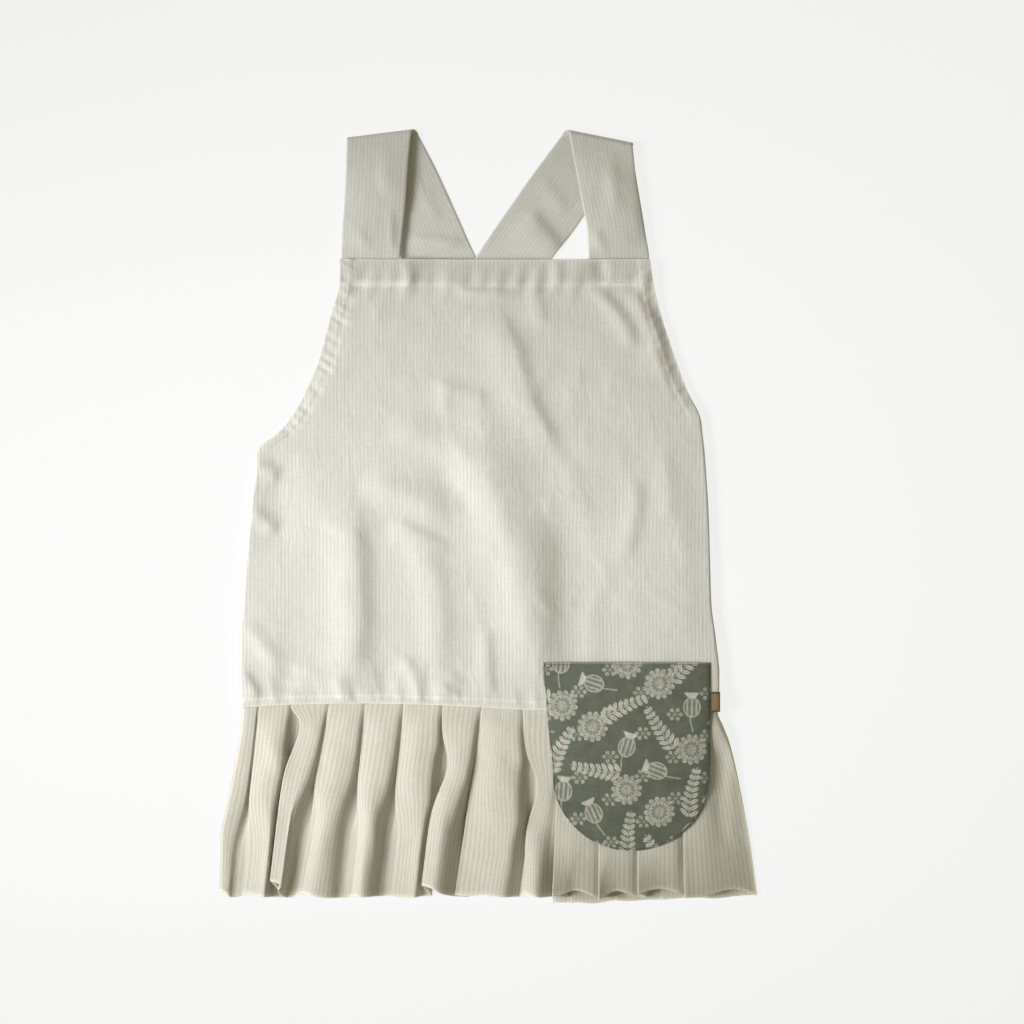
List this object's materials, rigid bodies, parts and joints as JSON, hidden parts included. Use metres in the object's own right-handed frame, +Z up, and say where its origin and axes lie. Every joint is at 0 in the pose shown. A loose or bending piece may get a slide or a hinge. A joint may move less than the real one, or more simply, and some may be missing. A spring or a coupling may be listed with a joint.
{
  "type": "cross-back apron",
  "caption": "Cross-back apron lying face up: striped bib and skirt with sides folded behind, pleated ruffle, crossing shoulder straps and a rounded patch pocket.",
  "frame": {"origin": "middle of the bounding box, on the surface that the apron lies on", "axes": "+Y from the hem to the shoulders, +Z up from the surface, +X to the right of a viewer who looks down with the shoulders at the top"},
  "size_m": [0.621, 0.8923, 0.0249],
  "materials": {
    "striped_cotton": "matt woven cotton with fine stripes",
    "printed_cotton": "matt printed cotton",
    "label_leather": "smooth tab"
  },
  "bodies": {
    "root": {"panel": "striped_cotton", "ruffle": "striped_cotton", "strap_left": "striped_cotton", "strap_right": "striped_cotton", "pocket": "printed_cotton", "label": "label_leather"}
  },
  "joints": []
}
